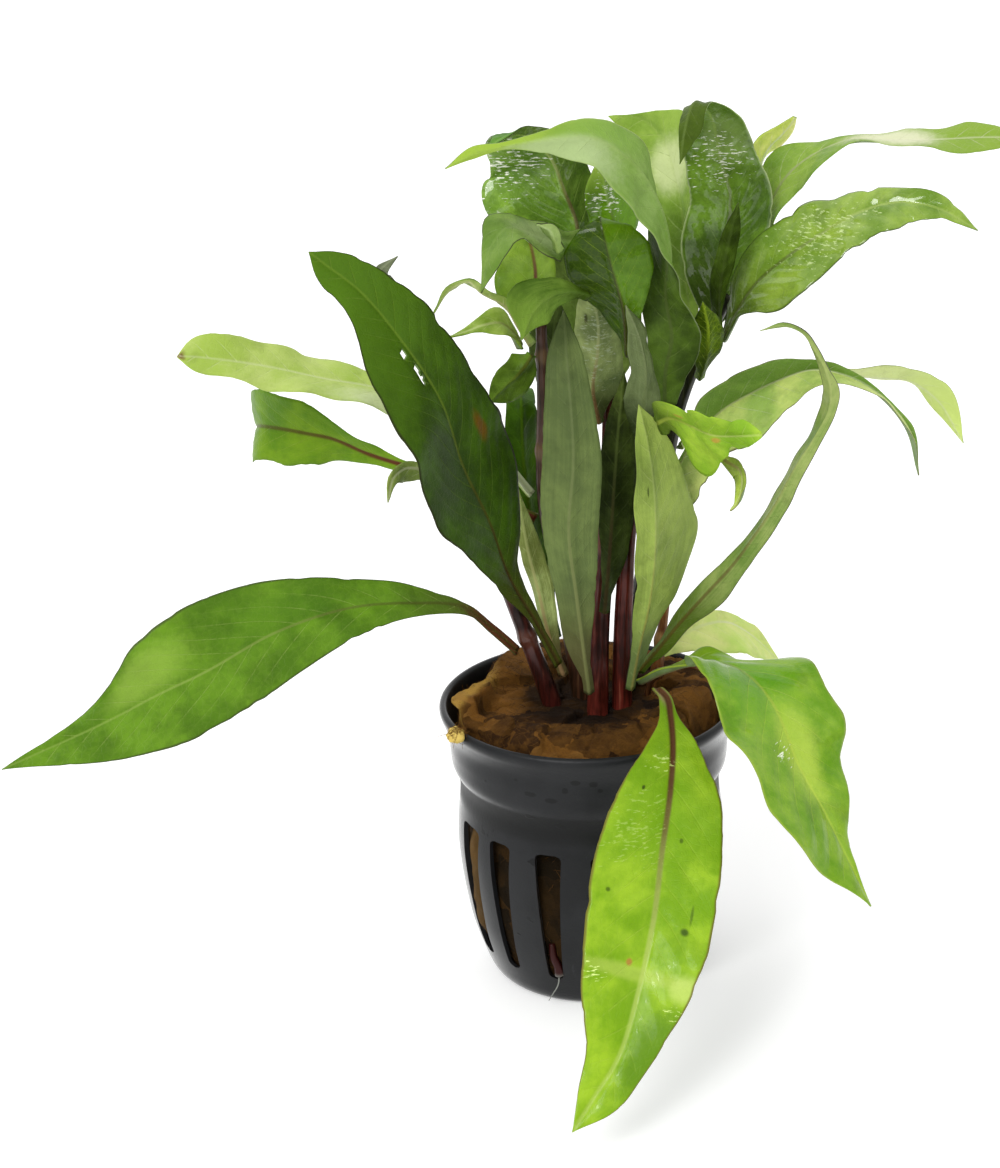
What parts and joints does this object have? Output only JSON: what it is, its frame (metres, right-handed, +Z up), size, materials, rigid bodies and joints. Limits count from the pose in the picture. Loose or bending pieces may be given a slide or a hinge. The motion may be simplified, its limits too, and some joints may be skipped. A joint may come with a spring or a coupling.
{
  "type": "potted water plant",
  "caption": "Bushy hygrophila with lance-shaped leaves on dark red stems, growing from a plug of rock wool in a small slotted net pot.",
  "frame": {"origin": "middle of the pot's foot, on the surface it stands on", "axes": "+Z up, -Y towards the front of the plant as pictured, +X to the right"},
  "size_m": [0.1682, 0.1036, 0.1573],
  "materials": {
    "pot_plastic": "satin",
    "wool": "matte",
    "stem_skin": "satin",
    "leaf_sunlit": "satin",
    "leaf_mid": "satin",
    "leaf_dark": "satin",
    "leaf_sage": "matte",
    "leaf_backlit": "satin"
  },
  "bodies": {
    "root": {"net_pot": "pot_plastic", "rock_wool": "wool", "stem_tall_left": "stem_skin", "stem_tall_right": "stem_skin", "stem_left": "stem_skin", "stem_centre": "stem_skin", "stem_middle_right": "stem_skin", "stem_thin_right": "stem_skin", "stalk_wilted": "stem_skin", "leaf_low_left": "leaf_mid", "leaf_broad_left": "leaf_dark", "leaf_backlit_left": "leaf_backlit", "leaf_folded_left": "leaf_mid", "leaf_front": "leaf_sunlit", "leaf_right_front": "leaf_mid", "leaf_ribbon": "leaf_sage", "leaf_sage_right": "leaf_sage", "leaf_sage_centre": "leaf_sage", "leaf_sage_low_left": "leaf_sage", "leaf_arch_crown": "leaf_mid", "leaf_glossy_top": "leaf_dark", "leaf_glossy_right": "leaf_mid", "leaf_long_right": "leaf_mid", "leaf_vfold_right": "leaf_mid", "leaf_pale_right": "leaf_backlit", "leaf_bright_ragged": "leaf_sunlit", "leaf_curled_right": "leaf_mid", "leaf_wrinkled_sage": "leaf_sage", "leaf_left_crown": "leaf_sage", "leaf_block_crown": "leaf_dark", "leaf_bright_crown": "leaf_mid", "leaf_red_rib_crown": "leaf_backlit", "leaf_forward_crown": "leaf_mid", "leaf_thin_arch_left": "leaf_mid", "leaf_small_left": "leaf_mid", "leaf_mid_left": "leaf_mid", "leaf_back_low_right": "leaf_backlit", "leaf_back_crown": "leaf_backlit", "leaf_yellow_tip": "leaf_backlit", "leaf_small_glossy": "leaf_mid", "leaf_small_dark": "leaf_dark", "leaf_cupped_young": "leaf_mid", "leaf_small_sage": "leaf_sage", "leaf_dark_centre": "leaf_dark", "leaf_dark_back_left": "leaf_dark", "leaf_drooping_left": "leaf_dark", "leaf_hooked_left": "leaf_dark", "leaf_shoot_tip": "leaf_sunlit", "leaf_shaded_crown": "leaf_dark", "leaf_dark_behind": "leaf_dark"}
  },
  "joints": []
}
